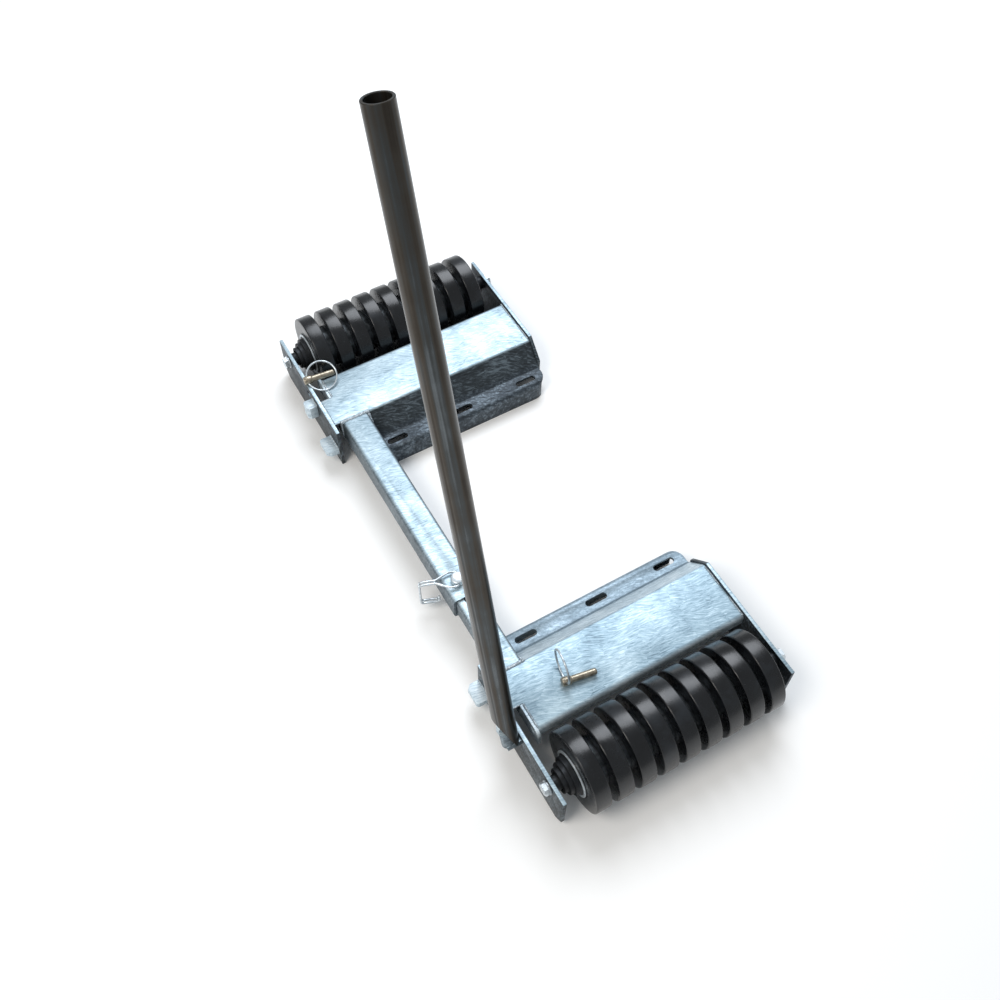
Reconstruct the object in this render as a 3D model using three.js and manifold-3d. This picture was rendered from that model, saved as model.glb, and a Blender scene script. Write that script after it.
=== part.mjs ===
// A wheel cradle in galvanised steel: two low units face each other across an open gap, each
// with a folded deck, two side plates and a roller of rubber rings. A telescoping square beam
// joins them along one side, and a lever pipe stands on a stub beside the near unit.
//
// Millimetres, +Z up. X runs along the rollers, Y across the gap from the near unit (-Y) to the
// far unit (+Y). While the parts are made, x = 0 is the inner face of the left side plates,
// y = 0 the middle of the gap and z = 0 the floor. The last step moves the origin to the middle
// of the footprint.

import * as THREE from 'three';
import { mergeVertices } from 'three/addons/utils/BufferGeometryUtils.js';
import Module from 'manifold-3d';

const wasm = await Module();
wasm.setup();

// ---- Driving dimensions ----------------------------------------------------------------------

const GAP = 0.3; // clearance kept between touching pieces
const CLEAR_WIDTH = 400; // between the side plates of one unit
const DECK_TOP = 83; // height of the deck above the floor

// Folded deck, distances in Y from the middle of the gap
const SHEET = 5;
const LIP_Y = 207; // inner face, the edge that stands on the floor
const FLANGE_TOP = 40.5;
const WEB_FOOT_Y = 242; // flange to sloped web
const WEB_HEAD_Y = 277; // sloped web to deck
const DECK_EDGE_Y = 385;
const SKIRT_DEPTH = 22;
const FLANGE_CORNER_R = 26;
const SLOT = { length: 40, width: 12, y: 226, firstX: 96, pitch: 133, count: 3 };
const NOTCH = { width: 24, y: 336 };

// Side plates
const PLATE = { thickness: 6, height: 90, endY: 501, leftInnerY: 252, rightInnerY: 246 };
const PLATE_CORNER = 14; // cut off the lower outer corner
const LOCK_HOLE = { y: 376, z: 70, radius: 6.5 };
const EAR = { thickness: 5, innerY: 337, outerY: 392, bottom: 48, top: 82.6, cornerR: 12 };

// Roller
const AXLE = { y: 461.5, z: 71, radius: 12.5 };
const RING = { outerR: 66.5, width: 26, pitch: 38.7, firstX: 35, count: 9, chamfer: 1.6 };
const CORE = { outerR: 38, innerR: 34, inset: 32 };
const HOUSING = { inset: 10, stepDepth: 7, stepRadii: [20, 26, 31], seatX: 31, endX: 46, seatR: 18.3 };
const BEARING = { outerR: 18, boreR: 12.8, width: 12, inset: 32 };
const BOLT = { shankR: 6, holeR: 6.5, headAcrossFlats: 19, headHeight: 7.5, length: 26 };
const WASHER = { outerR: 12, thickness: 2.5 };

// Telescoping beam, centred on one line
const BEAM = { x: 40, z: 57.7 };
const OUTER_TUBE = { side: 50, wall: 4, corner: 7, endY: -136, underDeckY: 332 };
const INNER_TUBE = { side: 40, wall: 3, corner: 6, endY: 62, underDeckY: -332 };
const PIN_Y = -104;
const HOLE_PITCH = 35;
const HOLES_BEFORE_PIN = 2; // spare holes on the near side of the pin
const HOLES_AFTER_PIN = 4;
const PIN_HOLE_R = 6.6;
const BEAM_PIN = { radius: 6, headR: 11, headHeight: 11, tipBelow: 9, tipTaper: 4 };
const CLIP = { wireR: 2, spread: 2.7, reach: 62, drop: 60, back: 32, hook: 8, turn: 20 };

// Lever pipe and the stub that it stands on
const LEVER = { outerR: 16.85, innerR: 13.65, length: 954, lean: 17.2, sideLean: 1.35 };
const MITRE = { height: 66, kept: 9 }; // slanting cut at the pipe's foot, on its outer side
const LEVER_STAND_OFF = 1.8; // between the pipe and the side plate
const STUB = { y: 369.4, top: 104, radius: 10, height: 24 };
const FOOT = { width: 24, thickness: 8, inward: 14, outward: 10 };

// Lugs on the left side plates: a low one near the gap, a tall one in front of the lever
const STOP_LUG = { reach: 22.5, innerY: 254, outerY: 291, top: 43, thickness: 12, chamfer: 7 };
const UPPER_LUG = { reach: 18.7, innerY: 337, outerY: 359, top: 75, thickness: 29, chamfer: 5 };

// Linch pins
const LINCH = { shankR: 5.5, shankLength: 50, headR: 7.5, headLength: 14, eyeR: 2.4 };
const LINCH_RING = { radius: 27, wireR: 1.7 };

// ---- Small helpers ---------------------------------------------------------------------------

const radians = THREE.MathUtils.degToRad;
const RIGHT_FACE = CLEAR_WIDTH;
const model = new THREE.Group();

const finish = {
  galvanised: { color: 0xb9c4cc, metalness: 0.8, roughness: 0.42 },
  rubber: { color: 0x17181b, metalness: 0, roughness: 0.62 },
  zinc: { color: 0xd0d3d2, metalness: 0.9, roughness: 0.3 },
  yellowZinc: { color: 0xb8a878, metalness: 0.85, roughness: 0.36 },
  steel: { color: 0x4b4d50, metalness: 0.7, roughness: 0.5 },
};

function addMesh(name, geometry, look, parent = model) {
  const mesh = new THREE.Mesh(geometry, new THREE.MeshStandardMaterial(look));
  mesh.name = name;
  parent.add(mesh);
  return mesh;
}

function solid(geometry) {
  const bare = geometry.clone();
  bare.deleteAttribute('normal');
  bare.deleteAttribute('uv');
  const merged = mergeVertices(bare, 1e-4);
  const vertProperties = new Float32Array(merged.attributes.position.array);
  const triVerts = new Uint32Array(merged.index.array);
  return new wasm.Manifold(new wasm.Mesh({ numProp: 3, vertProperties, triVerts }));
}

function geometryOf(manifold) {
  const mesh = manifold.getMesh();
  const geometry = new THREE.BufferGeometry();
  geometry.setAttribute('position', new THREE.BufferAttribute(mesh.vertProperties, 3));
  geometry.setIndex(new THREE.BufferAttribute(mesh.triVerts, 1));
  geometry.computeVertexNormals();
  return geometry;
}

function cut(geometry, cutters) {
  return geometryOf(cutters.reduce((rest, cutter) => rest.subtract(solid(cutter)), solid(geometry)));
}

function join(pieces) {
  return geometryOf(pieces.slice(1).reduce((whole, piece) => whole.add(solid(piece)), solid(pieces[0])));
}

// A box between two corners, whichever way round they are given
function box(a, b) {
  const low = new THREE.Vector3(...a).min(new THREE.Vector3(...b));
  const high = new THREE.Vector3(...a).max(new THREE.Vector3(...b));
  const size = high.clone().sub(low);
  const middle = low.add(high).multiplyScalar(0.5);
  return new THREE.BoxGeometry(size.x, size.y, size.z).translate(middle.x, middle.y, middle.z);
}

// Extrudes an outline drawn in (y, z) along X, from x0 to x1
function alongX(shape, x0, x1) {
  const options = { depth: x1 - x0, bevelEnabled: false };
  const geometry = new THREE.ExtrudeGeometry(shape, options);
  const axes = new THREE.Matrix4().makeBasis(
    new THREE.Vector3(0, 1, 0),
    new THREE.Vector3(0, 0, 1),
    new THREE.Vector3(1, 0, 0),
  );
  return geometry.applyMatrix4(axes).translate(x0, 0, 0);
}

// Extrudes an outline drawn in (x, y) up Z, from z0 to z1
function alongZ(shape, z0, z1) {
  const options = { depth: z1 - z0, bevelEnabled: false, curveSegments: 5 };
  return new THREE.ExtrudeGeometry(shape, options).translate(0, 0, z0);
}

function outline(points) {
  return new THREE.Shape(points.map(([u, v]) => new THREE.Vector2(u, v)));
}

// Turns a [radius, x] profile about the X axis; the profile starts and ends on the axis or closes
function turnedOnX(profile, segments) {
  const points = profile.map(([radius, x]) => new THREE.Vector2(radius, x));
  return new THREE.LatheGeometry(points, segments).rotateZ(-Math.PI / 2);
}

// A ring profile, closed on itself, with its outer edges chamfered
function ringProfile(innerR, outerR, x0, x1, chamfer = 0) {
  if (chamfer === 0) {
    return [[innerR, x0], [outerR, x0], [outerR, x1], [innerR, x1], [innerR, x0]];
  }
  return [
    [innerR, x0],
    [outerR - chamfer, x0],
    [outerR, x0 + chamfer],
    [outerR, x1 - chamfer],
    [outerR - chamfer, x1],
    [innerR, x1],
    [innerR, x0],
  ];
}

function cylinderX(radius, x0, x1, y, z, segments = 20) {
  const geometry = new THREE.CylinderGeometry(radius, radius, x1 - x0, segments);
  return geometry.rotateZ(Math.PI / 2).translate((x0 + x1) / 2, y, z);
}

function cylinderZ(radius, x, y, z0, z1, segments = 20) {
  const geometry = new THREE.CylinderGeometry(radius, radius, z1 - z0, segments);
  return geometry.rotateX(Math.PI / 2).translate(x, y, (z0 + z1) / 2);
}

function roundedSquare(side, corner, target = new THREE.Shape()) {
  const half = side / 2;
  const flat = half - corner;
  target.moveTo(-flat, -half);
  target.absarc(flat, -flat, corner, -Math.PI / 2, 0);
  target.absarc(flat, flat, corner, 0, Math.PI / 2);
  target.absarc(-flat, flat, corner, Math.PI / 2, Math.PI);
  target.absarc(-flat, -flat, corner, Math.PI, Math.PI * 1.5);
  return target;
}

// ---- Folded deck -----------------------------------------------------------------------------

// The sheet's cross-section: the outer path and the same path one sheet thickness inside it
function foldedSection(side) {
  const path = [
    [LIP_Y, 0],
    [LIP_Y, FLANGE_TOP],
    [WEB_FOOT_Y, FLANGE_TOP],
    [WEB_HEAD_Y, DECK_TOP],
    [DECK_EDGE_Y, DECK_TOP],
    [DECK_EDGE_Y, DECK_TOP - SKIRT_DEPTH],
  ].map(([y, z]) => new THREE.Vector2(y, z));
  const inside = path.map((point, i) => {
    const before = path[Math.max(i - 1, 0)];
    const after = path[Math.min(i + 1, path.length - 1)];
    const into = point.clone().sub(i > 0 ? before : point);
    const out = after.clone().sub(point);
    const first = i > 0 ? into.normalize() : out.clone().normalize();
    const second = i < path.length - 1 ? out.normalize() : first.clone();
    const normalA = new THREE.Vector2(first.y, -first.x);
    const normalB = new THREE.Vector2(second.y, -second.x);
    const miter = normalA.clone().add(normalB);
    return point.clone().add(miter.multiplyScalar(SHEET / (1 + normalA.dot(normalB))));
  });
  return outline([...path, ...inside.reverse()].map((p) => [side * p.x, p.y]));
}

function slotCutter(x, side) {
  const half = SLOT.length / 2 - SLOT.width / 2;
  const radius = SLOT.width / 2;
  const shape = new THREE.Shape();
  shape.absarc(x + half, side * SLOT.y, radius, -Math.PI / 2, Math.PI / 2);
  shape.absarc(x - half, side * SLOT.y, radius, Math.PI / 2, Math.PI * 1.5);
  return alongZ(shape, FLANGE_TOP - 2 * SHEET, FLANGE_TOP + SHEET);
}

// Rounds the flange's free corner and stops the lip where the rounding starts
function cornerCutter(side) {
  const past = 2;
  const x = RIGHT_FACE;
  const centre = [x - FLANGE_CORNER_R, LIP_Y + FLANGE_CORNER_R];
  const shape = new THREE.Shape();
  shape.moveTo(centre[0], side * (LIP_Y - past));
  shape.lineTo(x + past, side * (LIP_Y - past));
  shape.lineTo(x + past, side * centre[1]);
  const steps = 8;
  for (let i = 0; i <= steps; i += 1) {
    const angle = (i / steps) * (Math.PI / 2);
    const y = centre[1] - FLANGE_CORNER_R * Math.sin(angle);
    shape.lineTo(centre[0] + FLANGE_CORNER_R * Math.cos(angle), side * y);
  }
  return alongZ(shape, -past, FLANGE_TOP + SHEET);
}

function deck(side, tubeSide) {
  const tubeEdge = BEAM.x + tubeSide / 2 + 2 * GAP;
  const sheet = alongX(foldedSection(side), GAP, RIGHT_FACE - GAP);
  const cutters = [
    box([-1, side * (LIP_Y - 1), -1], [tubeEdge, side * (WEB_HEAD_Y + GAP), DECK_TOP + 1]),
    box([-1, side * WEB_HEAD_Y, 0], [tubeEdge, side * (WEB_HEAD_Y + SHEET), DECK_TOP - SHEET]),
    box([-1, side * NOTCH.y, 0], [NOTCH.width, side * (DECK_EDGE_Y + 1), DECK_TOP + 1]),
    cornerCutter(side),
  ];
  for (let i = 0; i < SLOT.count; i += 1) {
    cutters.push(slotCutter(SLOT.firstX + i * SLOT.pitch, side));
  }
  return cut(sheet, cutters);
}

// ---- Side plates and welded lugs -------------------------------------------------------------

function leftPlate(side) {
  const shape = outline([
    [side * PLATE.leftInnerY, 0],
    [side * (PLATE.endY - PLATE_CORNER), 0],
    [side * PLATE.endY, PLATE_CORNER],
    [side * PLATE.endY, PLATE.height],
    [side * PLATE.leftInnerY, PLATE.height],
  ]);
  const plate = alongX(shape, -PLATE.thickness, 0);
  return cut(plate, [
    cylinderX(BOLT.holeR, -PLATE.thickness - 1, 1, side * AXLE.y, AXLE.z),
    cylinderX(LOCK_HOLE.radius, -PLATE.thickness - 1, 1, side * LOCK_HOLE.y, LOCK_HOLE.z),
  ]);
}

// The right plate's top edge follows the sloped web down to the flange
function rightPlate(side) {
  const rise = PLATE.height - DECK_TOP;
  const shape = outline([
    [side * PLATE.rightInnerY, 0],
    [side * (PLATE.endY - PLATE_CORNER), 0],
    [side * PLATE.endY, PLATE_CORNER],
    [side * PLATE.endY, PLATE.height],
    [side * (WEB_HEAD_Y + 3), PLATE.height],
    [side * PLATE.rightInnerY, FLANGE_TOP + rise + 5],
  ]);
  const plate = alongX(shape, RIGHT_FACE, RIGHT_FACE + PLATE.thickness);
  const x0 = RIGHT_FACE - 1;
  const x1 = RIGHT_FACE + PLATE.thickness + 1;
  return cut(plate, [cylinderX(BOLT.holeR, x0, x1, side * AXLE.y, AXLE.z)]);
}

// An upright ear along the notch; its hole lines up with the one in the left side plate
function cornerEar(side) {
  const x1 = NOTCH.width - GAP;
  const shape = new THREE.Shape();
  shape.moveTo(side * EAR.innerY, EAR.bottom);
  shape.lineTo(side * EAR.outerY, EAR.bottom);
  const steps = 6;
  for (let i = 0; i <= steps; i += 1) {
    const angle = (i / steps) * (Math.PI / 2);
    const y = EAR.outerY - EAR.cornerR * (1 - Math.cos(angle));
    shape.lineTo(side * y, EAR.top - EAR.cornerR * (1 - Math.sin(angle)));
  }
  shape.lineTo(side * EAR.innerY, EAR.top);
  const ear = alongX(shape, x1 - EAR.thickness, x1);
  const x0 = x1 - EAR.thickness - 1;
  return cut(ear, [cylinderX(LOCK_HOLE.radius, x0, x1 + 1, side * LOCK_HOLE.y, LOCK_HOLE.z)]);
}

// A block that sticks out from the left side plate, with its outer corners cut off
function plateLug(side, lug) {
  const x1 = -PLATE.thickness - GAP;
  const x0 = x1 - lug.reach;
  const shape = outline([
    [x1, side * lug.innerY],
    [x0 + lug.chamfer, side * lug.innerY],
    [x0, side * (lug.innerY + lug.chamfer)],
    [x0, side * (lug.outerY - lug.chamfer / 2)],
    [x0 + lug.chamfer / 2, side * lug.outerY],
    [x1, side * lug.outerY],
  ]);
  return alongZ(shape, lug.top - lug.thickness, lug.top);
}

// ---- Roller ----------------------------------------------------------------------------------

function axleShaft() {
  const x0 = GAP;
  const x1 = RIGHT_FACE - GAP;
  const threadR = BOLT.shankR + GAP;
  const depth = BOLT.length;
  return turnedOnX([
    [0, x0 + depth],
    [threadR, x0 + depth],
    [threadR, x0],
    [AXLE.radius, x0],
    [AXLE.radius, x1],
    [threadR, x1],
    [threadR, x1 - depth],
    [0, x1 - depth],
  ], 20);
}

// A steel housing that closes the core tube's end around the bearing and steps in towards the
// side plate
function bearingHousing(flip) {
  const rim = CORE.innerR - GAP;
  const boreR = AXLE.radius + 2;
  const profile = [[boreR, HOUSING.inset]];
  HOUSING.stepRadii.forEach((radius, i) => {
    profile.push([radius, HOUSING.inset + i * HOUSING.stepDepth]);
    profile.push([radius, HOUSING.inset + (i + 1) * HOUSING.stepDepth]);
  });
  profile.push(
    [rim, CORE.inset + 1],
    [rim, HOUSING.endX],
    [HOUSING.seatR, HOUSING.endX],
    [HOUSING.seatR, HOUSING.seatX],
    [boreR, HOUSING.seatX],
    [boreR, HOUSING.inset],
  );
  const geometry = turnedOnX(profile, 22);
  return flip ? geometry.rotateY(Math.PI).translate(RIGHT_FACE, 0, 0) : geometry;
}

function hexBolt() {
  const cornerR = BOLT.headAcrossFlats / Math.sqrt(3);
  const headBase = -PLATE.thickness - WASHER.thickness - 2 * GAP;
  const head = new THREE.CylinderGeometry(cornerR, cornerR, BOLT.headHeight, 6).rotateZ(Math.PI / 2);
  head.translate(headBase - BOLT.headHeight / 2, 0, 0);
  const shank = cylinderX(BOLT.shankR, headBase - 1, BOLT.length - 4, 0, 0, 20);
  return join([head, shank]);
}

function addRoller(unit, side) {
  const place = new THREE.Group();
  place.position.set(0, side * AXLE.y, AXLE.z);
  model.add(place);
  const core = ringProfile(CORE.innerR, CORE.outerR, CORE.inset, CLEAR_WIDTH - CORE.inset);
  addMesh(`${unit}_roller_tube`, turnedOnX(core, 24), finish.galvanised, place);
  for (let i = 0; i < RING.count; i += 1) {
    const x0 = RING.firstX + i * RING.pitch;
    const profile = ringProfile(CORE.outerR + GAP, RING.outerR, x0, x0 + RING.width, RING.chamfer);
    addMesh(`${unit}_rubber_ring_${i + 1}`, turnedOnX(profile, 24), finish.rubber, place);
  }
  addMesh(`${unit}_axle`, axleShaft(), finish.zinc, place);
  for (const end of ['left', 'right']) {
    const flip = end === 'right';
    const mirror = (geometry) => (
      flip ? geometry.rotateY(Math.PI).translate(RIGHT_FACE, 0, 0) : geometry
    );
    const bearing = ringProfile(BEARING.boreR, BEARING.outerR, BEARING.inset, BEARING.inset + BEARING.width);
    const washerFace = -PLATE.thickness - GAP;
    const washer = ringProfile(BOLT.holeR, WASHER.outerR, washerFace - WASHER.thickness, washerFace);
    addMesh(`${unit}_${end}_bearing_housing`, bearingHousing(flip), finish.steel, place);
    addMesh(`${unit}_${end}_bearing`, mirror(turnedOnX(bearing, 18)), finish.zinc, place);
    addMesh(`${unit}_${end}_axle_bolt`, mirror(hexBolt()), finish.zinc, place);
    addMesh(`${unit}_${end}_washer`, mirror(turnedOnX(washer, 16)), finish.zinc, place);
  }
}

// ---- One unit --------------------------------------------------------------------------------

function addUnit(unit, side, tubeSide) {
  addMesh(`${unit}_deck`, deck(side, tubeSide), finish.galvanised);
  addMesh(`${unit}_left_side_plate`, leftPlate(side), finish.galvanised);
  addMesh(`${unit}_right_side_plate`, rightPlate(side), finish.galvanised);
  addMesh(`${unit}_corner_ear`, cornerEar(side), finish.galvanised);
  addMesh(`${unit}_stop_lug`, plateLug(side, STOP_LUG), finish.galvanised);
  addMesh(`${unit}_upper_lug`, plateLug(side, UPPER_LUG), finish.galvanised);
  addRoller(unit, side);
}

addUnit('far', 1, OUTER_TUBE.side);
addUnit('near', -1, INNER_TUBE.side);

// ---- Lever pipe and its stub -----------------------------------------------------------------

// Both are made upright, with the origin at the stub's top, in a group that leans over the gap
const leverFrame = new THREE.Group();
leverFrame.position.set(-PLATE.thickness - LEVER_STAND_OFF - LEVER.outerR, -STUB.y, STUB.top);
leverFrame.rotation.x = -radians(LEVER.lean);
model.add(leverFrame);

const footEdge = LEVER.outerR + LEVER_STAND_OFF - GAP;
const foot = box(
  [footEdge - FOOT.width, -FOOT.outward, -STUB.height - FOOT.thickness],
  [footEdge, FOOT.inward, -STUB.height],
);
const stub = cylinderZ(STUB.radius, 0, 0, -STUB.height - FOOT.thickness / 2, 0, 20);
addMesh('near_lever_stub', join([foot, stub]), finish.galvanised, leverFrame);

const pipeWall = new THREE.Shape();
pipeWall.absarc(0, 0, LEVER.outerR, 0, Math.PI * 2);
const pipeBore = new THREE.Path();
pipeBore.absarc(0, 0, LEVER.innerR, 0, Math.PI * 2, true);
pipeWall.holes.push(pipeBore);
const pipeOptions = { depth: LEVER.length, bevelEnabled: false, curveSegments: 16 };
const plainPipe = new THREE.ExtrudeGeometry(pipeWall, pipeOptions);

// The pipe's outer side is cut on a slant, so that it clears the lug behind it
const cutWidth = LEVER.outerR + 1;
const slant = alongX(
  outline([
    [-cutWidth, -1],
    [LEVER.outerR - MITRE.kept, -1],
    [-cutWidth, MITRE.height],
  ]),
  -cutWidth,
  cutWidth,
);
const pipe = cut(plainPipe, [slant.rotateZ(-Math.PI / 2)]);

// Loose on its stub, the pipe also leans a little over the side plate
const sideLean = radians(LEVER.sideLean);
const pipeBase = GAP + LEVER.outerR * Math.sin(sideLean) - STUB.height;
pipe.rotateY(sideLean).translate(0, 0, pipeBase);
addMesh('lever_pipe', pipe, finish.galvanised, leverFrame);

// ---- Telescoping beam ------------------------------------------------------------------------

// A square tube with rounded corners along Y, with upright holes through both walls
function squareTube(size, y0, y1, holeYs) {
  const section = roundedSquare(size.side, size.corner);
  const inner = new THREE.Path();
  section.holes.push(roundedSquare(size.side - 2 * size.wall, size.corner - size.wall, inner));
  const options = { depth: y1 - y0, bevelEnabled: false, curveSegments: 4 };
  const tube = new THREE.ExtrudeGeometry(section, options).rotateX(-Math.PI / 2);
  tube.translate(BEAM.x, y0, BEAM.z);
  return cut(tube, holeYs.map((y) => cylinderZ(PIN_HOLE_R, BEAM.x, y, 0, DECK_TOP + 20, 14)));
}

const innerHoles = [];
for (let i = -HOLES_BEFORE_PIN; i <= HOLES_AFTER_PIN; i += 1) {
  innerHoles.push(PIN_Y + i * HOLE_PITCH);
}
const outerTube = squareTube(OUTER_TUBE, OUTER_TUBE.endY, OUTER_TUBE.underDeckY, [PIN_Y]);
const deckUnderside = DECK_TOP - SHEET - GAP;
const cope = box([0, WEB_HEAD_Y, deckUnderside], [2 * BEAM.x, OUTER_TUBE.underDeckY + 1, DECK_TOP + 10]);
addMesh('outer_beam_tube', cut(outerTube, [cope]), finish.galvanised);
addMesh(
  'inner_beam_tube',
  squareTube(INNER_TUBE, INNER_TUBE.underDeckY, INNER_TUBE.endY, innerHoles),
  finish.galvanised,
);

// ---- Beam pin and its wire clip --------------------------------------------------------------

const tubeTop = BEAM.z + OUTER_TUBE.side / 2;
const tubeBottom = BEAM.z - OUTER_TUBE.side / 2;
const pinFrame = new THREE.Group();
pinFrame.position.set(BEAM.x, PIN_Y, tubeTop + GAP);
pinFrame.rotation.z = -radians(CLIP.turn);
model.add(pinFrame);

const pinTip = tubeBottom - tubeTop - BEAM_PIN.tipBelow;
const pinProfile = [
  [0, pinTip],
  [BEAM_PIN.radius - 2, pinTip],
  [BEAM_PIN.radius, pinTip + BEAM_PIN.tipTaper],
  [BEAM_PIN.radius, 0],
  [BEAM_PIN.headR, 0],
  [BEAM_PIN.headR, BEAM_PIN.headHeight - 1],
  [BEAM_PIN.headR - 1, BEAM_PIN.headHeight],
  [0, BEAM_PIN.headHeight],
].map(([radius, z]) => new THREE.Vector2(radius, z));
const pinBody = new THREE.LatheGeometry(pinProfile, 20).rotateX(Math.PI / 2);
const pivotZ = BEAM_PIN.headHeight / 2;
const pivotLength = 2 * BEAM_PIN.headR + 4;
const pivotHole = cylinderZ(CLIP.wireR + GAP, 0, 0, -pivotLength / 2, pivotLength / 2, 12);
pivotHole.rotateX(Math.PI / 2).translate(0, 0, pivotZ);
addMesh('beam_pin', cut(pinBody, [pivotHole]), finish.zinc, pinFrame);

// The clip is one doubled wire. Its two ends turn into the hole across the pin's head; from there
// it runs out past the tube, drops down its side and turns back towards it, where it is closed
const besideHead = BEAM_PIN.headR + GAP + CLIP.wireR;
const runClear = BEAM_PIN.headR + CLIP.wireR + 1;
const low = pivotZ - CLIP.drop;
const halfClip = [
  [0, 3.2, pivotZ],
  [0, besideHead - 2.4, pivotZ],
  [-0.7, besideHead - 0.5, pivotZ],
  [-2.8, besideHead, pivotZ],
  [-runClear, besideHead, pivotZ],
  [-2.4 * runClear, CLIP.spread + 1, pivotZ],
  [-2.8 * runClear, CLIP.spread, pivotZ],
  [-CLIP.reach + 7, CLIP.spread, pivotZ],
  [-CLIP.reach + 1.5, CLIP.spread, pivotZ - 1.5],
  [-CLIP.reach, CLIP.spread, pivotZ - 7],
  [-CLIP.reach, CLIP.spread, low + 7],
  [-CLIP.reach + 1.5, CLIP.spread, low + 1.5],
  [-CLIP.reach + 7, CLIP.spread, low],
  [-CLIP.back - 6, CLIP.spread, low],
  [-CLIP.back - 1.5, CLIP.spread, low + 2],
  [-CLIP.back, CLIP.spread, low + CLIP.hook - 2.5],
];
const clipPoints = [
  ...halfClip,
  [-CLIP.back, 0, low + CLIP.hook],
  ...halfClip.map(([x, y, z]) => [x, -y, z]).reverse(),
];
const clipCurve = new THREE.CatmullRomCurve3(
  clipPoints.map((point) => new THREE.Vector3(...point)),
  false,
  'centripetal',
);
const wireSection = new THREE.Shape();
wireSection.absarc(0, 0, CLIP.wireR, 0, Math.PI * 2);
const clipOptions = { steps: 100, extrudePath: clipCurve, bevelEnabled: false, curveSegments: 3 };
const clip = new THREE.ExtrudeGeometry(wireSection, clipOptions);
addMesh('beam_pin_clip', clip, finish.zinc, pinFrame);

// ---- Linch pins ------------------------------------------------------------------------------

// The pin lies along +X with its eye in the head at the origin; the ring passes through the eye
function linchPinGeometry() {
  const profile = [
    [0, -LINCH.headLength / 2],
    [LINCH.headR - 1.5, -LINCH.headLength / 2],
    [LINCH.headR, -LINCH.headLength / 2 + 1.5],
    [LINCH.headR, LINCH.headLength / 2],
    [LINCH.shankR, LINCH.headLength / 2 + 2],
    [LINCH.shankR, LINCH.shankLength - 3],
    [LINCH.shankR - 2, LINCH.shankLength],
    [0, LINCH.shankLength],
  ];
  const eye = cylinderZ(LINCH.eyeR, 0, 0, -LINCH.headR - 1, LINCH.headR + 1, 12);
  return cut(turnedOnX(profile, 16), [eye.rotateX(Math.PI / 2)]);
}

// The ring's wire passes through the eye along Y, and its middle lies `swing` above the shank
function linchRingGeometry(swing) {
  const ring = new THREE.TorusGeometry(LINCH_RING.radius, LINCH_RING.wireR, 6, 30);
  return ring.translate(LINCH_RING.radius - 0.5, 0, 0).rotateY(-swing);
}

const nearLinch = new THREE.Group();
nearLinch.position.set(97, -341, DECK_TOP + LINCH.headR + GAP);
nearLinch.rotation.set(radians(-36), 0, radians(-10), 'ZYX');
model.add(nearLinch);
addMesh('near_linch_pin', linchPinGeometry(), finish.yellowZinc, nearLinch);
addMesh('near_linch_ring', linchRingGeometry(radians(92)), finish.zinc, nearLinch);

// The far pin lies across the side plate's top edge and the ear, its ring folded over the shank
const farLinch = new THREE.Group();
farLinch.position.set(-1, 382, PLATE.height + LINCH.headR + GAP);
farLinch.rotation.set(radians(28), 0, radians(-6), 'ZYX');
model.add(farLinch);
addMesh('far_linch_pin', linchPinGeometry(), finish.yellowZinc, farLinch);
addMesh('far_linch_ring', linchRingGeometry(0), finish.zinc, farLinch);

// ---- Origin under the middle of the footprint ------------------------------------------------

model.updateMatrixWorld(true);
const bounds = new THREE.Box3().setFromObject(model, true);
const footprint = bounds.getCenter(new THREE.Vector3());
const wheelCradle = new THREE.Group();
model.position.set(-footprint.x, -footprint.y, -bounds.min.z);
wheelCradle.add(model);
wheelCradle.updateMatrixWorld(true);

export default wheelCradle;
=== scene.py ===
# %% [markdown]
# # A galvanised wheel cradle
# Two low steel units face each other across an open gap. Each has a folded deck, two side plates
# and a roller of rubber rings. A square tube slides inside a larger one to join the units along
# one side, a pin with a wire clip locks the two tubes, and a lever pipe stands on a stub beside
# the near unit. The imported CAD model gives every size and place; this file gives the finish, the
# rounded edges and bends, the welds and the small forged and bent pieces.

import math

import bmesh
import bpy
from mathutils import Matrix, Vector


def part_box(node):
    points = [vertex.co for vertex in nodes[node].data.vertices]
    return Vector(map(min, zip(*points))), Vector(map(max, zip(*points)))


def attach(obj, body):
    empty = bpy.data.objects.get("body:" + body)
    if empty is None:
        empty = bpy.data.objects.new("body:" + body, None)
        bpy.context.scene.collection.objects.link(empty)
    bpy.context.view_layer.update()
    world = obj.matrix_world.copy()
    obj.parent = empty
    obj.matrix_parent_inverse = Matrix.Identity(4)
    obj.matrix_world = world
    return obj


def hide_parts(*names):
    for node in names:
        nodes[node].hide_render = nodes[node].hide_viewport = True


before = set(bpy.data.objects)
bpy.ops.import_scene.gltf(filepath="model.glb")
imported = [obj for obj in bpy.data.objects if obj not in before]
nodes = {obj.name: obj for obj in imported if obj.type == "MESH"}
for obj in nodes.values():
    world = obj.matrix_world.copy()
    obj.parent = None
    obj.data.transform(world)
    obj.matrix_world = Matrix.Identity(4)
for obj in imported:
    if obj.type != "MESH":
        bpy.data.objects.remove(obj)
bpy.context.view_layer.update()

# %% [markdown]
# ## Places and sizes
# The workshop drawing counts millimetres from the inner face of the left side plates, from the
# middle of the gap and from the floor. One function turns such a place into metres in the frame,
# so every later cell can be read against a drawing. The inner face itself is read from a CAD node.

# %% Millimetres to metres
MM = 0.001
LEFT_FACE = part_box("near_left_side_plate")[1].x
CLEAR_WIDTH = 400
DECK_TOP = 83
SIDES = {"far": 1, "near": -1}


def at(x, y, z):
    """A place on the drawing, in metres in the frame."""
    return Vector((LEFT_FACE + x * MM, y * MM, z * MM))


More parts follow.
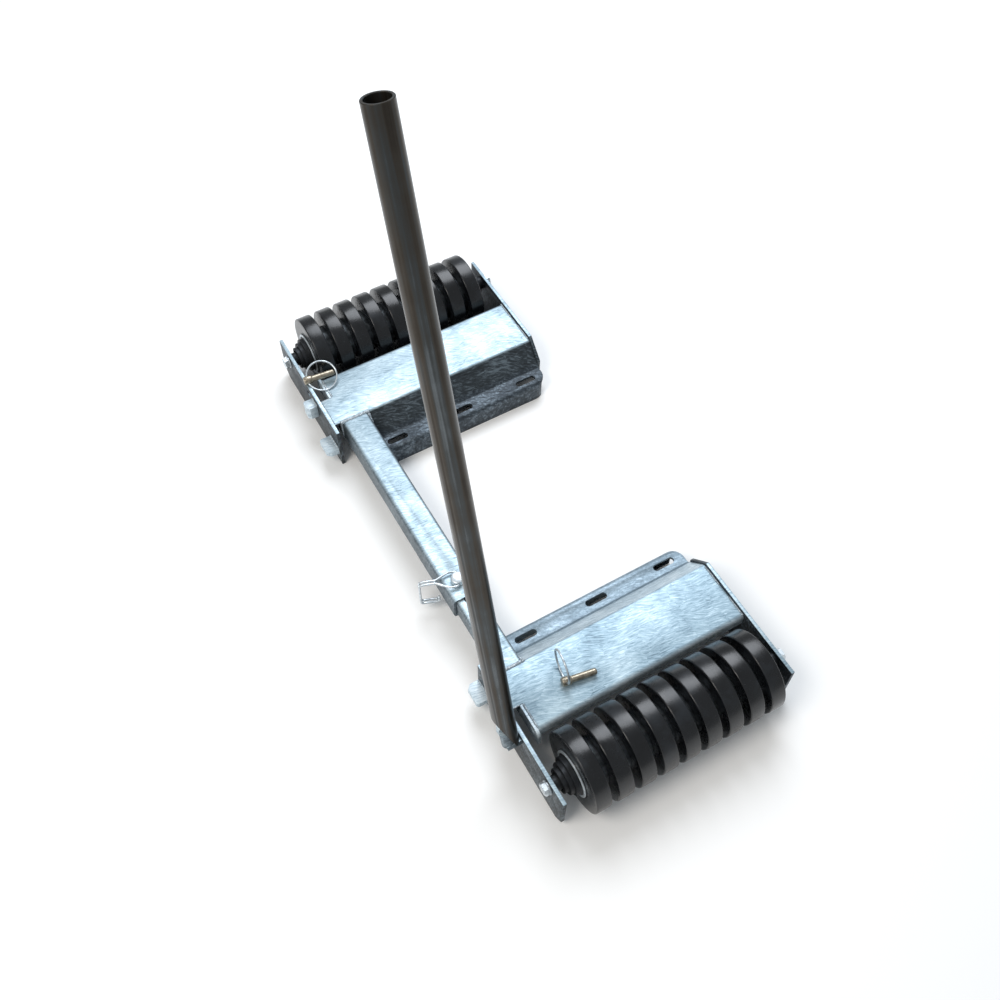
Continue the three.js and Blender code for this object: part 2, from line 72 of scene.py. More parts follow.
def placed(x, y, z, turn=None):
    """A matrix that scales millimetres to metres and puts a piece at that place."""
    turned_matrix = turn.to_4x4() if turn else Matrix.Identity(4)
    return Matrix.Translation(at(x, y, z)) @ turned_matrix @ Matrix.Scale(MM, 4)


print("inner face of the left plates at x =", round(LEFT_FACE, 5), "m")

# %% [markdown]
# ## Small helpers
# A mesh is built in millimetres, moved by one matrix and given to a new object that stays at the
# origin. Edges of real steel are never perfectly sharp, so most pieces get a narrow bevel, which
# is what catches the light along an edge. Faces that meet gently are shaded smooth.

# %% Mesh helpers
SMOOTH_BELOW = math.radians(32)


def new_object(name, mesh):
    obj = bpy.data.objects.new(name, mesh)
    bpy.context.scene.collection.objects.link(obj)
    return obj


def object_from(name, bm, matrix=None, fix_normals=True):
    """Turns a bmesh into an object, with its place in its mesh and shading split at corners."""
    if matrix is not None:
        bm.transform(matrix)
    bmesh.ops.remove_doubles(bm, verts=bm.verts, dist=0.00001)
    if fix_normals:
        bmesh.ops.recalc_face_normals(bm, faces=bm.faces)
    for face in bm.faces:
        face.smooth = True
    for edge in bm.edges:
        if len(edge.link_faces) == 2 and edge.calc_face_angle(0) > SMOOTH_BELOW:
            edge.smooth = False
    mesh = bpy.data.meshes.new(name)
    bm.to_mesh(mesh)
    bm.free()
    return new_object(name, mesh)


def soften(bm, width, segments=2, above=40):
    """Bevels every corner sharper than an angle in degrees; the width is in metres."""
    corners = [
        edge
        for edge in bm.edges
        if len(edge.link_faces) == 2 and edge.calc_face_angle(0) > math.radians(above)
    ]
    bmesh.ops.bevel(
        bm,
        geom=corners,
        offset=width,
        offset_type="OFFSET",
        segments=segments,
        profile=0.5,
        affect="EDGES",
        clamp_overlap=True,
    )


def softened_copy(node, width_mm):
    """A copy of a CAD node with its loose triangles merged and its corners softened."""
    bm = bmesh.new()
    bm.from_mesh(nodes[node].data)
    bmesh.ops.remove_doubles(bm, verts=bm.verts, dist=0.000002)
    bmesh.ops.dissolve_limit(
        bm, angle_limit=math.radians(1), verts=bm.verts, edges=bm.edges
    )
    soften(bm, width_mm * MM)
    return object_from(node + "_finished", bm, fix_normals=False)


def lathe(profile, segments):
    """Turns a profile of (radius, height) about Z; a closed profile repeats its first point."""
    bm = bmesh.new()
    rings = []
    for radius, height in profile:
        ring = []
        for i in range(segments):
            angle = 2 * math.pi * i / segments
            ring.append(
                bm.verts.new(
                    (radius * math.cos(angle), radius * math.sin(angle), height)
                )
            )
        rings.append(ring)
    for low, high in zip(rings, rings[1:]):
        for i in range(segments):
            j = (i + 1) % segments
            bm.faces.new((low[i], low[j], high[j], high[i]))
    bmesh.ops.remove_doubles(bm, verts=bm.verts, dist=0.0005)
    return bm


def prism(outline, low, high):
    """Extrudes a flat outline of (x, y) points from one height to another."""
    bm = bmesh.new()
    bottom = [bm.verts.new((x, y, low)) for x, y in outline]
    top = [bm.verts.new((x, y, high)) for x, y in outline]
    bm.faces.new(list(reversed(bottom)))
    bm.faces.new(top)
    for i in range(len(outline)):
        j = (i + 1) % len(outline)
        bm.faces.new((bottom[i], bottom[j], top[j], top[i]))
    return bm


def arc(centre, radius, start, end, steps):
    """Points on an arc, with its angles in degrees."""
    points = []
    for i in range(steps + 1):
        angle = math.radians(start + (end - start) * i / steps)
        points.append(
            (
                centre[0] + radius * math.cos(angle),
                centre[1] + radius * math.sin(angle),
            )
        )
    return points


def block(a, b):
    """A box between two corners, in millimetres."""
    x0, x1 = sorted((a[0], b[0]))
    y0, y1 = sorted((a[1], b[1]))
    z0, z1 = sorted((a[2], b[2]))
    return prism([(x0, y0), (x1, y0), (x1, y1), (x0, y1)], z0, z1)


def cut_away(obj, cutters):
    """Cuts bmeshes, drawn in millimetres, out of an object and keeps a plain mesh."""
    tools = []
    for i, cutter in enumerate(cutters):
        tool = object_from(f"cutter_{i}", cutter, placed(0, 0, 0))
        modifier = obj.modifiers.new(f"cut_{i}", "BOOLEAN")
        modifier.operation = "DIFFERENCE"
        modifier.solver = "EXACT"
        modifier.object = tool
        tools.append(tool)
    plain = bpy.data.meshes.new_from_object(
        obj.evaluated_get(bpy.context.evaluated_depsgraph_get())
    )
    obj.modifiers.clear()
    obj.data = plain
    for tool in tools:
        bpy.data.objects.remove(tool)
    return obj


def soften_object(obj, width_mm, above=40):
    bm = bmesh.new()
    bm.from_mesh(obj.data)
    bmesh.ops.remove_doubles(bm, verts=bm.verts, dist=0.00001)
    bmesh.ops.dissolve_limit(
        bm, angle_limit=math.radians(0.5), verts=bm.verts, edges=bm.edges
    )
    soften(bm, width_mm * MM, above=above)
    finished = object_from(obj.name, bm, fix_normals=False)
    bpy.data.objects.remove(obj)
    return finished


def triangles(obj):
    return sum(len(polygon.vertices) - 2 for polygon in obj.data.polygons)


print("helpers ready")

# %% [markdown]
# ## Node helpers and colours
# Materials and Geometry Nodes trees are both built in code. One small function adds any node,
# sets its properties, and fills or links its inputs; a few shorter ones add the textures that the
# finishes share. Colours are written as the sRGB hex values that a designer would pick, and one
# function turns them to the linear values that Blender uses.


# %% Node and colour helpers
def fill_inputs(tree, node, inputs):
    for key, value in inputs.items():
        if isinstance(value, bpy.types.NodeSocket):
            tree.links.new(value, node.inputs[key])
        else:
            node.inputs[key].default_value = value


def add_node(tree, kind, inputs=None, **settings):
    node = tree.nodes.new(kind)
    for key, value in settings.items():
        setattr(node, key, value)
    fill_inputs(tree, node, inputs or {})
    return node


def linear(hex_colour):
    """An sRGB hex colour as linear RGBA."""
    channels = [int(hex_colour[i : i + 2], 16) / 255 for i in (1, 3, 5)]
    return tuple(
        c / 12.92 if c <= 0.04045 else ((c + 0.055) / 1.055) ** 2.4 for c in channels
    ) + (1.0,)


def per_mm(size):
    """A texture scale whose pattern repeats about once in that many millimetres."""
    return 1000 / size


def tones(tree, factor, stops):
    """Turns a factor into a colour through (position, hex colour) stops."""
    node = add_node(tree, "ShaderNodeValToRGB", {"Fac": factor})
    elements = node.color_ramp.elements
    while len(elements) < len(stops):
        elements.new(0.5)
    for element, (position, colour) in zip(elements, stops):
        element.position = position
        element.color = linear(colour)
    return node.outputs["Color"]


def noise(tree, vector, size_mm, detail, roughness=0.5, distortion=0):
    """A noise whose blotches are about that many millimetres wide."""
    inputs = {
        "Vector": vector,
        "Scale": per_mm(size_mm),
        "Detail": detail,
        "Roughness": roughness,
        "Distortion": distortion,
    }
    return add_node(tree, "ShaderNodeTexNoise", inputs).outputs["Fac"]


def remap(tree, value, low, high, to_low=0, to_high=1):
    inputs = {
        "Value": value,
        "From Min": low,
        "From Max": high,
        "To Min": to_low,
        "To Max": to_high,
    }
    return add_node(tree, "ShaderNodeMapRange", inputs).outputs["Result"]


def mix_values(tree, share, first, second):
    inputs = {0: share, 2: first, 3: second}
    return add_node(tree, "ShaderNodeMix", inputs, data_type="FLOAT").outputs[0]


def mix_colours(tree, share, first, second):
    inputs = {0: share, 6: first, 7: second}
    return add_node(tree, "ShaderNodeMix", inputs, data_type="RGBA").outputs[2]


def relief(tree, height, strength, depth_mm, under=None):
    """Fine relief in the surface, on top of another relief if one is given."""
    inputs = {"Strength": strength, "Distance": depth_mm * MM, "Height": height}
    if under:
        inputs["Normal"] = under
    return add_node(tree, "ShaderNodeBump", inputs).outputs["Normal"]


def new_material(name):
    material = bpy.data.materials.new(name)
    material.use_nodes = True
    tree = material.node_tree
    tree.nodes.clear()
    shader = add_node(tree, "ShaderNodeBsdfPrincipled")
    add_node(tree, "ShaderNodeOutputMaterial", {"Surface": shader.outputs["BSDF"]})
    return material, tree, shader


print("mid grey is", [round(c, 3) for c in linear("#808080")])

# %% [markdown]
# ## Hot-dip galvanised steel
# The welded frames are dipped in molten zinc, which freezes into crystals. Each crystal is a
# patch of feathery lines in its own direction, so the surface looks cloudy. Its colour also carries
# painted light and shade: faces that point up take a lit, bluish white ramp, and faces that point
# sideways or down take a painted shade ramp of dull grey. A Voronoi texture gives each crystal a
# random number; that number turns the coordinates, and a stretched noise drawn on them makes the
# feathers. A slow noise adds clouds and a fine one the slight orange peel of thick zinc. On the
# decks everything below 46 mm, the low flanges with their lips, takes a darker, speckled tone. The
# painted shade on upright faces is darkest on the plates and the far deck and grey on the tubes,
# while the near deck, the ears and the lugs take pale painted light there instead.


# %% Galvanised finish
def galvanised(name, light, shade, dull=None, dull_below_mm=46, metallic=0.62):
    material, tree, shader = new_material(name)
    place = add_node(tree, "ShaderNodeTexCoord").outputs
    here = place["Object"]
    crystals = add_node(
        tree, "ShaderNodeTexVoronoi", {"Vector": here, "Scale": per_mm(30)}, feature="F1"
    )
    cell = add_node(tree, "ShaderNodeSeparateColor", {"Color": crystals.outputs["Color"]})
    angle = add_node(
        tree, "ShaderNodeMath", {0: cell.outputs["Red"], 1: 0.5}, operation="MULTIPLY"
    )
    turned = add_node(
        tree,
        "ShaderNodeVectorRotate",
        {"Vector": here, "Angle": angle.outputs["Value"]},
        rotation_type="Z_AXIS",
    )
    stretched = add_node(
        tree,
        "ShaderNodeMapping",
        {
            "Vector": turned.outputs["Vector"],
            "Rotation": (0, 0, math.radians(-52)),
            "Scale": (1, 8, 2),
        },
    )
    feathers = noise(tree, stretched.outputs["Vector"], 17, 8, 0.68, 0.1)
    clouds = noise(tree, here, 55, 5)
    both = mix_values(tree, 0.32, feathers, clouds)
    normal = add_node(tree, "ShaderNodeSeparateXYZ", {"Vector": place["Normal"]})
    # Painted light and shade: faces that point up take the lit ramp, and faces that point sideways
    # or down take the painted shade ramp
    facing_up = remap(tree, normal.outputs["Z"], 0.66, 0.97)
    colour = mix_colours(tree, facing_up, tones(tree, both, shade), tones(tree, both, light))
    # A darker tone low down, broken up by the clouds and by a fine speckle
    if dull:
        height = add_node(tree, "ShaderNodeSeparateXYZ", {"Vector": here})
        fade = 3
        low = remap(
            tree, height.outputs["Z"], (dull_below_mm + fade) * MM, dull_below_mm * MM
        )
        speckle = noise(tree, here, 5, 8, 0.75)
        patchy = mix_values(tree, 0.6, speckle, both)
        colour = mix_colours(tree, low, colour, tones(tree, patchy, dull))
    peel = relief(tree, noise(tree, here, 3.5, 4), 0.5, 0.3)
    fill_inputs(
        tree,
        shader,
        {
            "Base Color": colour,
            "Metallic": metallic,
            "Roughness": remap(tree, both, 0.3, 0.7, 0.58, 0.42),
            "Normal": relief(tree, feathers, 0.25, 0.2, peel),
        },
    )
    return material


# The first three ramps are lit tones for faces that point up; the side ramps are painted shade, and
# the pale one paints light onto upright faces instead
BLUISH_LIT_TOPS = [(0.33, "#5d7280"), (0.44, "#90a8b6"), (0.53, "#a6bdc9"), (0.66, "#cfe1ea")]
BRIGHT_LIT_TOPS = [(0.33, "#657985"), (0.44, "#9db2be"), (0.53, "#b5c9d3"), (0.66, "#dfecf2")]
WHITE_LIT_TOPS = [(0.34, "#93a6b2"), (0.5, "#c9dae4"), (0.64, "#eef6fa")]
DARK_PAINTED_SHADE = [(0.36, "#23282b"), (0.5, "#3a4146"), (0.62, "#6f7b83")]
GREY_PAINTED_SHADE = [(0.34, "#4c555b"), (0.5, "#6b767d"), (0.64, "#96a3ab")]
PALE_PAINTED_LIGHT = [(0.34, "#97a8b2"), (0.5, "#c0d0d9"), (0.64, "#e8f3f9")]
# The two decks are lit and shaded copies of one sheet: the near deck's sides take pale painted
# light and the far deck's sides dark painted shade; their low bands also differ, darker on the far
# deck
near_deck_zinc = galvanised(
    "Hot-dip galvanised sheet, near deck, painted light",
    BLUISH_LIT_TOPS,
    PALE_PAINTED_LIGHT,
    [(0.34, "#5b6973"), (0.5, "#8496a2"), (0.64, "#b3c5d1")],
)
far_deck_zinc = galvanised(
    "Hot-dip galvanised sheet, far deck, painted shade",
    BRIGHT_LIT_TOPS,
    DARK_PAINTED_SHADE,
    [(0.36, "#1e2226"), (0.5, "#3f474e"), (0.62, "#7b8892")],
)
DECK_ZINC = {"near": near_deck_zinc, "far": far_deck_zinc}
# The plates' upright faces take dark painted shade and the tubes' upright faces grey painted shade
plate_zinc = galvanised("Hot-dip galvanised plate, painted shade", BRIGHT_LIT_TOPS, DARK_PAINTED_SHADE)
tube_zinc = galvanised("Hot-dip galvanised square tube, painted shade", BRIGHT_LIT_TOPS, GREY_PAINTED_SHADE)
# The lugs and ears sit in the shade of the plates; whiter lit tops, pale sides and a low metallic
# paint light onto them
lug_zinc_painted_light = galvanised("Hot-dip galvanised lug, painted light", WHITE_LIT_TOPS, PALE_PAINTED_LIGHT, metallic=0.25)
print("made", near_deck_zinc.name, "and four more zinc finishes")

# %% [markdown]
# ## The lever pipe's finish
# The lever is a length of galvanised water pipe. It was drawn and dipped by machine, so it has no
# crystals: its zinc is thin, darker and warmer, with soft streaks of brown and blue grey along its
# length. The streaks must run along the pipe, which leans, so a Mapping node first turns the
# coordinates upright and then stretches the noise along Z.

# %% Lever pipe finish
LEAN = math.radians(17.2)
SIDE_LEAN = math.radians(1.35)

pipe_zinc, tree, shader = new_material("Galvanised water pipe")
here = add_node(tree, "ShaderNodeTexCoord").outputs["Object"]
upright = add_node(
    tree, "ShaderNodeMapping", {"Vector": here, "Rotation": (LEAN, -SIDE_LEAN, 0)}
)
along = add_node(
    tree,
    "ShaderNodeMapping",
    {"Vector": upright.outputs["Vector"], "Scale": (1, 1, 0.02)},
).outputs["Vector"]
mixed = mix_values(tree, 0.3, noise(tree, along, 9, 4), noise(tree, here, 60, 6))
pipe_tones = [(0.32, "#302b26"), (0.44, "#45403a"), (0.55, "#484b4c"), (0.68, "#70767a")]
fill_inputs(
    tree,
    shader,
    {
        "Base Color": tones(tree, mixed, pipe_tones),
        "Metallic": 0.85,
        "Roughness": remap(tree, mixed, 0.3, 0.7, 0.36, 0.24),
        "Normal": relief(tree, noise(tree, along, 4, 5), 0.25, 0.2),
    },
)
print("made", pipe_zinc.name)

# %% [markdown]
# ## Moulded rubber, plated hardware and dark steel
# The rings are black natural rubber, moulded and then pushed on the roller. Rubber keeps a soft
# sheen, shows faint lines round each ring from the mould, and holds pale dust. Bolts, washers and
# wire are bright zinc plate, the linch pins are yellow passivated, and the roller's end housings
# are turned from dark, oily steel.

# %% Rubber
ring_rubber, tree, shader = new_material("Moulded black rubber")
here = add_node(tree, "ShaderNodeTexCoord").outputs["Object"]
slow = noise(tree, here, 40, 6, 0.6)
dust = noise(tree, here, 2.2, 3, 0.7)
specks = remap(tree, dust, 0.68, 0.76, 0, 0.55)
black = tones(tree, slow, [(0.3, "#07080a"), (0.52, "#0e1013"), (0.7, "#1b1f24")])
# A wave texture turns 20 radians for each unit of its scale, so these soft lines round each ring
# come about 10 mm apart, which is coarser than real mould lines
LINE_SCALE = 31.25
mould_lines = add_node(
    tree,
    "ShaderNodeTexWave",
    {"Vector": here, "Scale": LINE_SCALE, "Distortion": 0.4},
    bands_direction="X",
)
lines = relief(tree, mould_lines.outputs["Fac"], 0.12, 0.2)
fill_inputs(
    tree,
    shader,
    {
        "Base Color": mix_colours(tree, specks, black, linear("#6b6f75")),
        "Roughness": remap(tree, slow, 0.3, 0.7, 0.2, 0.34),
        "Normal": relief(tree, dust, 0.2, 0.2, lines),
    },
)
print("made", ring_rubber.name)


# %% Plated and bare steel
def plated_steel(name, stops, metallic, rough_low, rough_high, grain_mm):
    """A thin even finish over steel: two tones of fine grain and a little handling wear."""
    material, tree, shader = new_material(name)
    here = add_node(tree, "ShaderNodeTexCoord").outputs["Object"]
    wear = noise(tree, here, grain_mm, 6, 0.65)
    fill_inputs(
        tree,
        shader,
        {
            "Base Color": tones(tree, wear, stops),
            "Metallic": metallic,
            "Roughness": remap(tree, wear, 0.3, 0.7, rough_high, rough_low),
            "Normal": relief(tree, wear, 0.15, 0.1),
        },
    )
    return material


bright_zinc = plated_steel(
    "Bright zinc plate", [(0.3, "#9fa8ae"), (0.6, "#dfe7ec")], 0.75, 0.24, 0.42, 9
)
yellow_zinc = plated_steel(
    "Yellow passivated zinc", [(0.3, "#6f675a"), (0.6, "#b3aa98")], 0.8, 0.26, 0.42, 8
)
dark_steel = plated_steel(
    "Turned dark steel", [(0.3, "#141517"), (0.62, "#2c2f33")], 0.55, 0.38, 0.6, 14
)
# The roller tube's dark tone is painted shade for the deep gaps between the rubber rings
roller_tube_painted_shade = plated_steel(
    "Drawn roller tube, painted shade", [(0.3, "#2f3235"), (0.62, "#686d71")], 0.8, 0.3, 0.5, 12
)
weld_metal = plated_steel(
    "Galvanised weld metal", [(0.3, "#7e8a92"), (0.62, "#d3dee6")], 0.62, 0.34, 0.55, 3
)
print("made five steel finishes")


# %% [markdown]
# ## Handing a piece to the frame
# Every finished piece gets its material, rides on the CAD body that it belongs to, and hides the
# CAD nodes that it stands for. The imported model keeps those nodes for collision, hidden.


# %% Finish a piece
def finish_piece(obj, body, material, replaced=()):
    obj.data.materials.clear()
    obj.data.materials.append(material)
    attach(obj, body)
    if replaced:
        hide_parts(*replaced)
    return obj


def joined(name, parts):
    """Joins objects that were each finished in place into one mesh."""
    bm = bmesh.new()
    for part in parts:
        bm.from_mesh(part.data)
        bpy.data.objects.remove(part)
    mesh = bpy.data.meshes.new(name)
    bm.to_mesh(mesh)
    bm.free()
    return new_object(name, mesh)


# %% [markdown]
# ## Folded decks
# A press brake folds one sheet into a lip, a slotted flange, a sloped web, the deck and a skirt.
# A real fold has a radius, so the sheet's middle line is rounded at each bend and given half its
# thickness to each side. Extruding that strip along X and cutting the slots, the notch, the beam's
# passage and the round corner out of it follows the order in which the real sheet is made.

# %% Sheet cross-section
SHEET = 5
BEND_R = 6
LIP_Y = 207
FLANGE_TOP = 40.5
WEB_HEAD_Y = 277
DECK_EDGE_Y = 385
TOP_LINE = [
    (LIP_Y, 0),
    (LIP_Y, FLANGE_TOP),
    (242, FLANGE_TOP),
    (WEB_HEAD_Y, DECK_TOP),
    (DECK_EDGE_Y, DECK_TOP),
    (DECK_EDGE_Y, 61),
]


def middle_line(line, depth):
    """The same line moved inwards by a depth, with its corners kept."""
    points = [Vector(p) for p in line]
    moved = []
    for i, point in enumerate(points):
        into = (point - points[i - 1]).normalized() if i else None
        out = (points[i + 1] - point).normalized() if i + 1 < len(points) else None
        into = into or out
        out = out or into
        normal_a = Vector((into.y, -into.x))
        normal_b = Vector((out.y, -out.x))
        moved.append(
            point + (normal_a + normal_b) * depth / (1 + normal_a.dot(normal_b))
        )
    return moved


def rounded_strip(line, radius, half, steps=7):
    """Pairs of points on the two faces of a sheet whose middle line has rounded corners."""
    samples = [(line[0], (line[1] - line[0]).normalized())]
    for before, corner, after in zip(line, line[1:], line[2:]):
        into = (corner - before).normalized()
        out = (after - corner).normalized()
        turn = into.angle_signed(out)
        reach = radius * math.tan(abs(turn) / 2)
        for i in range(steps + 1):
            t = i / steps
            direction = Vector(into)
            direction.rotate(Matrix.Rotation(-turn * t, 2))
            start = corner - into * reach
            side = Vector((into.y, -into.x)) * (1 if turn > 0 else -1)
            centre = start + side * radius
            spoke = Vector(start - centre)
            spoke.rotate(Matrix.Rotation(-turn * t, 2))
            samples.append((centre + spoke, direction))
    samples.append((line[-1], (line[-1] - line[-2]).normalized()))
    pairs = []
    for point, direction in samples:
        normal = Vector((direction.y, -direction.x))
        pairs.append((point - normal * half, point + normal * half))
    return pairs


strip = rounded_strip(middle_line(TOP_LINE, SHEET / 2), BEND_R, SHEET / 2)
print("sheet section has", len(strip), "pairs of points")

# %% Decks with their cut-outs
SLOTS = {"y": 226, "first": 96, "pitch": 133, "count": 3, "half": 14, "radius": 6}
NOTCH_WIDTH = 24
NOTCH_Y = 336
CORNER_R = 26
TUBE_SIDE = {"far": 50, "near": 40}
BEAM_X = 40
END_GAP = 0.3
PASSAGE_GAP = 0.6


def folded_deck(unit):
    side = SIDES[unit]
    bm = bmesh.new()
    ends = []
    for x in (END_GAP, CLEAR_WIDTH - END_GAP):
        ends.append(
            [
                [bm.verts.new((x, side * p.x, p.y)) for p in pair]
                for pair in strip
            ]
        )
    for (a0, b0), (a1, b1), (c0, d0), (c1, d1) in zip(
        ends[0], ends[0][1:], ends[1], ends[1][1:]
    ):
        bm.faces.new((a0, a1, c1, c0))
        bm.faces.new((b0, b1, d1, d0))
        bm.faces.new((a0, b0, b1, a1))
        bm.faces.new((c0, c1, d1, d0))
    for i in (0, -1):
        bm.faces.new((ends[0][i][0], ends[0][i][1], ends[1][i][1], ends[1][i][0]))
    deck = object_from(f"{unit}_deck_folded", bm, placed(0, 0, 0))
    beam_edge = BEAM_X + TUBE_SIDE[unit] / 2 + PASSAGE_GAP
    passage = block(
        (-1, side * (LIP_Y - 1), -1), (beam_edge, side * (WEB_HEAD_Y + 0.3), 90)
    )
    under = block(
        (-1, side * WEB_HEAD_Y, 0), (beam_edge, side * (WEB_HEAD_Y + 6), 78)
    )
    notch = block((-1, side * NOTCH_Y, 0), (NOTCH_WIDTH, side * 386, 90))
    centre = (CLEAR_WIDTH - CORNER_R, LIP_Y + CORNER_R)
    outline = [(centre[0], LIP_Y - 2), (CLEAR_WIDTH + 2, LIP_Y - 2)]
    outline += [(CLEAR_WIDTH + 2, centre[1])] + arc(centre, CORNER_R, 0, -90, 14)
    corner = prism([(x, side * y) for x, y in outline[:-1]], -2, 60)
    cutters = [passage, under, notch, corner]
    for i in range(SLOTS["count"]):
        x = SLOTS["first"] + i * SLOTS["pitch"]
        right = arc((x + SLOTS["half"], SLOTS["y"]), SLOTS["radius"], -90, 90, 12)
        left = arc((x - SLOTS["half"], SLOTS["y"]), SLOTS["radius"], 90, 270, 12)
        cutters.append(prism([(a, side * b) for a, b in right + left], 30, 50))
    return soften_object(cut_away(deck, cutters), 0.7)


for unit in SIDES:
    deck = folded_deck(unit)
    finish_piece(deck, f"{unit}_frame", DECK_ZINC[unit], [f"{unit}_deck"])
    print(deck.name, triangles(deck), "triangles")

# %% [markdown]
# ## Side plates, ears, lugs and the stub
# These are flat plates and short bars, sawn or laser cut and then dipped, so their CAD shapes are
# right already. Each is copied from its CAD node and its corners softened, because thick zinc
# rounds every edge by about half a millimetre.

# %% Plates and lugs
for unit in SIDES:
    pieces = [
        ("left_side_plate", 0.8, plate_zinc),
        ("right_side_plate", 0.8, plate_zinc),
        ("corner_ear", 0.7, lug_zinc_painted_light),
        ("stop_lug", 0.7, lug_zinc_painted_light),
        ("upper_lug", 0.7, lug_zinc_painted_light),
    ]
    if unit == "near":
        pieces.append(("lever_stub", 0.7, tube_zinc))
    for piece, width, zinc in pieces:
        node = f"{unit}_{piece}"
        copy = softened_copy(node, width)
        finish_piece(copy, f"{unit}_frame", zinc, [node])
        print(copy.name, triangles(copy), "triangles")

# %% [markdown]
# ## Telescoping beam
# Square hollow section has rounded corners outside and inside. The larger tube belongs to the far
# unit and the smaller one slides in it. Holes every 35 mm along the smaller tube let the pin lock
# the beam at several lengths.

# %% Square tubes
BEAM_Z = 57.7
PIN_Y = -104
HOLE_PITCH = 35
HOLE_R = 6.6


def rounded_square(side, corner, steps=7):
    flat = side / 2 - corner
    points = []
    for i, (x, z) in enumerate(((1, -1), (1, 1), (-1, 1), (-1, -1))):
        start = -90 + 90 * i
        points += arc((x * flat, z * flat), corner, start, start + 90, steps)
    return points


def square_tube(name, side, wall, corner, y0, y1):
    bm = bmesh.new()
    outer = rounded_square(side, corner)
    inner = rounded_square(side - 2 * wall, corner - wall)
    loops = []
    for points, y in ((outer, y0), (outer, y1), (inner, y1), (inner, y0)):
        loops.append([bm.verts.new((x, y, z)) for x, z in points])
    loops.append(loops[0])
    for low, high in zip(loops, loops[1:]):
        for i in range(len(low)):
            j = (i + 1) % len(low)
            bm.faces.new((low[i], low[j], high[j], high[i]))
    return object_from(name, bm, placed(BEAM_X, 0, BEAM_Z))


def upright_hole(y):
    bm = lathe([(0, 0), (HOLE_R, 0), (HOLE_R, 110), (0, 110)], 40)
    bmesh.ops.translate(bm, verts=bm.verts, vec=(BEAM_X, y, 0))
    return bm


outer_tube = square_tube("outer_beam_tube_finished", TUBE_SIDE["far"], 4, 7, -136, 332)
cope = block((0, WEB_HEAD_Y, DECK_TOP - SHEET - 0.3), (2 * BEAM_X, 333, 100))
outer_tube = soften_object(cut_away(outer_tube, [upright_hole(PIN_Y), cope]), 0.5)
finish_piece(
    outer_tube, "far_frame", tube_zinc, ["outer_beam_tube"]
)
inner_tube = square_tube("inner_beam_tube_finished", TUBE_SIDE["near"], 3, 6, -332, 62)
holes = [upright_hole(PIN_Y + i * HOLE_PITCH) for i in range(-2, 5)]
inner_tube = soften_object(cut_away(inner_tube, holes), 0.5)
finish_piece(
    inner_tube, "near_frame", tube_zinc, ["inner_beam_tube"]
)
print("tubes:", triangles(outer_tube), "and", triangles(inner_tube), "triangles")

# %% [markdown]
# ## Lever pipe
# The lever is a plain pipe, sawn square and left open at the top. Its foot is cut on a slant. It
# stands loosely on its stub, leaning over the gap, so its profile is turned upright and then placed
# by the same two small turns as in the CAD.

# %% Turned lever
LEVER_R = 16.85
LEVER_BORE = 13.65
LEVER_LENGTH = 954
STAND_OFF = 1.8
PLATE = 6
STUB_Y = -369.4
STUB_TOP = 104
STUB_HEIGHT = 24
FOOT_GAP = 0.3
MITRE_HEIGHT = 66
MITRE_KEPT = 9
stub_top = at(-PLATE - STAND_OFF - LEVER_R, STUB_Y, STUB_TOP)
lean = Matrix.Rotation(-LEAN, 4, "X")
base_height = FOOT_GAP + LEVER_R * math.sin(SIDE_LEAN) - STUB_HEIGHT
lever_matrix = (
    Matrix.Translation(stub_top)
    @ lean
    @ Matrix.Scale(MM, 4)
    @ Matrix.Translation((0, 0, base_height))
    @ Matrix.Rotation(SIDE_LEAN, 4, "Y")
)
rim = 0.6
lever_profile = [
    (LEVER_BORE + rim, 0),
    (LEVER_R - rim, 0),
    (LEVER_R, rim),
    (LEVER_R, LEVER_LENGTH - rim),
    (LEVER_R - rim, LEVER_LENGTH),
    (LEVER_BORE + rim, LEVER_LENGTH),
    (LEVER_BORE, LEVER_LENGTH - rim),
    (LEVER_BORE, rim),
    (LEVER_BORE + rim, 0),
]
lever = object_from("lever_pipe_finished", lathe(lever_profile, 72), lever_matrix)
# The foot of the pipe is cut on a slant, so that its outer side ends above the lug
clear_of_pipe = 18
slant = [(-clear_of_pipe, -1), (LEVER_R - MITRE_KEPT, -1), (-clear_of_pipe, MITRE_HEIGHT)]
slant_cut = prism(slant, -clear_of_pipe, clear_of_pipe)
slant_cut.transform(Matrix.Rotation(math.radians(90), 4, "X"))
slant_cut.transform(placed(0, 0, 0).inverted() @ lever_matrix)
lever = soften_object(cut_away(lever, [slant_cut]), 0.3, above=50)
lever.name = "lever_pipe_finished"
finish_piece(lever, "lever", pipe_zinc, ["lever_pipe"])
print("lever pipe:", triangles(lever), "triangles")

# %% [markdown]
# ## Rubber rings with Geometry Nodes
# One roller carries nine equal rings at an even pitch, so a Geometry Nodes tree makes them. A
# rounded rectangle is swept round a circle to make one ring, a line of points gives the places,
# and instances put a ring on each. The sizes are named inputs of the tree, so another roller
# could have wider or more rings. Three short functions start a tree, end it and run it, and the
# trees for wire and for welds use them too.

# %% Tree helpers
def new_tree(name, inputs):
    """A Geometry Nodes tree with its named inputs, and the identifier of each input's socket."""
    tree = bpy.data.node_groups.new(name, "GeometryNodeTree")
    tree.interface.new_socket("Geometry", in_out="OUTPUT", socket_type="NodeSocketGeometry")
    ids = {}
    for label, kind in inputs:
        socket = tree.interface.new_socket(label, in_out="INPUT", socket_type=kind)
        ids[label] = socket.identifier
    return tree, ids, add_node(tree, "NodeGroupInput").outputs


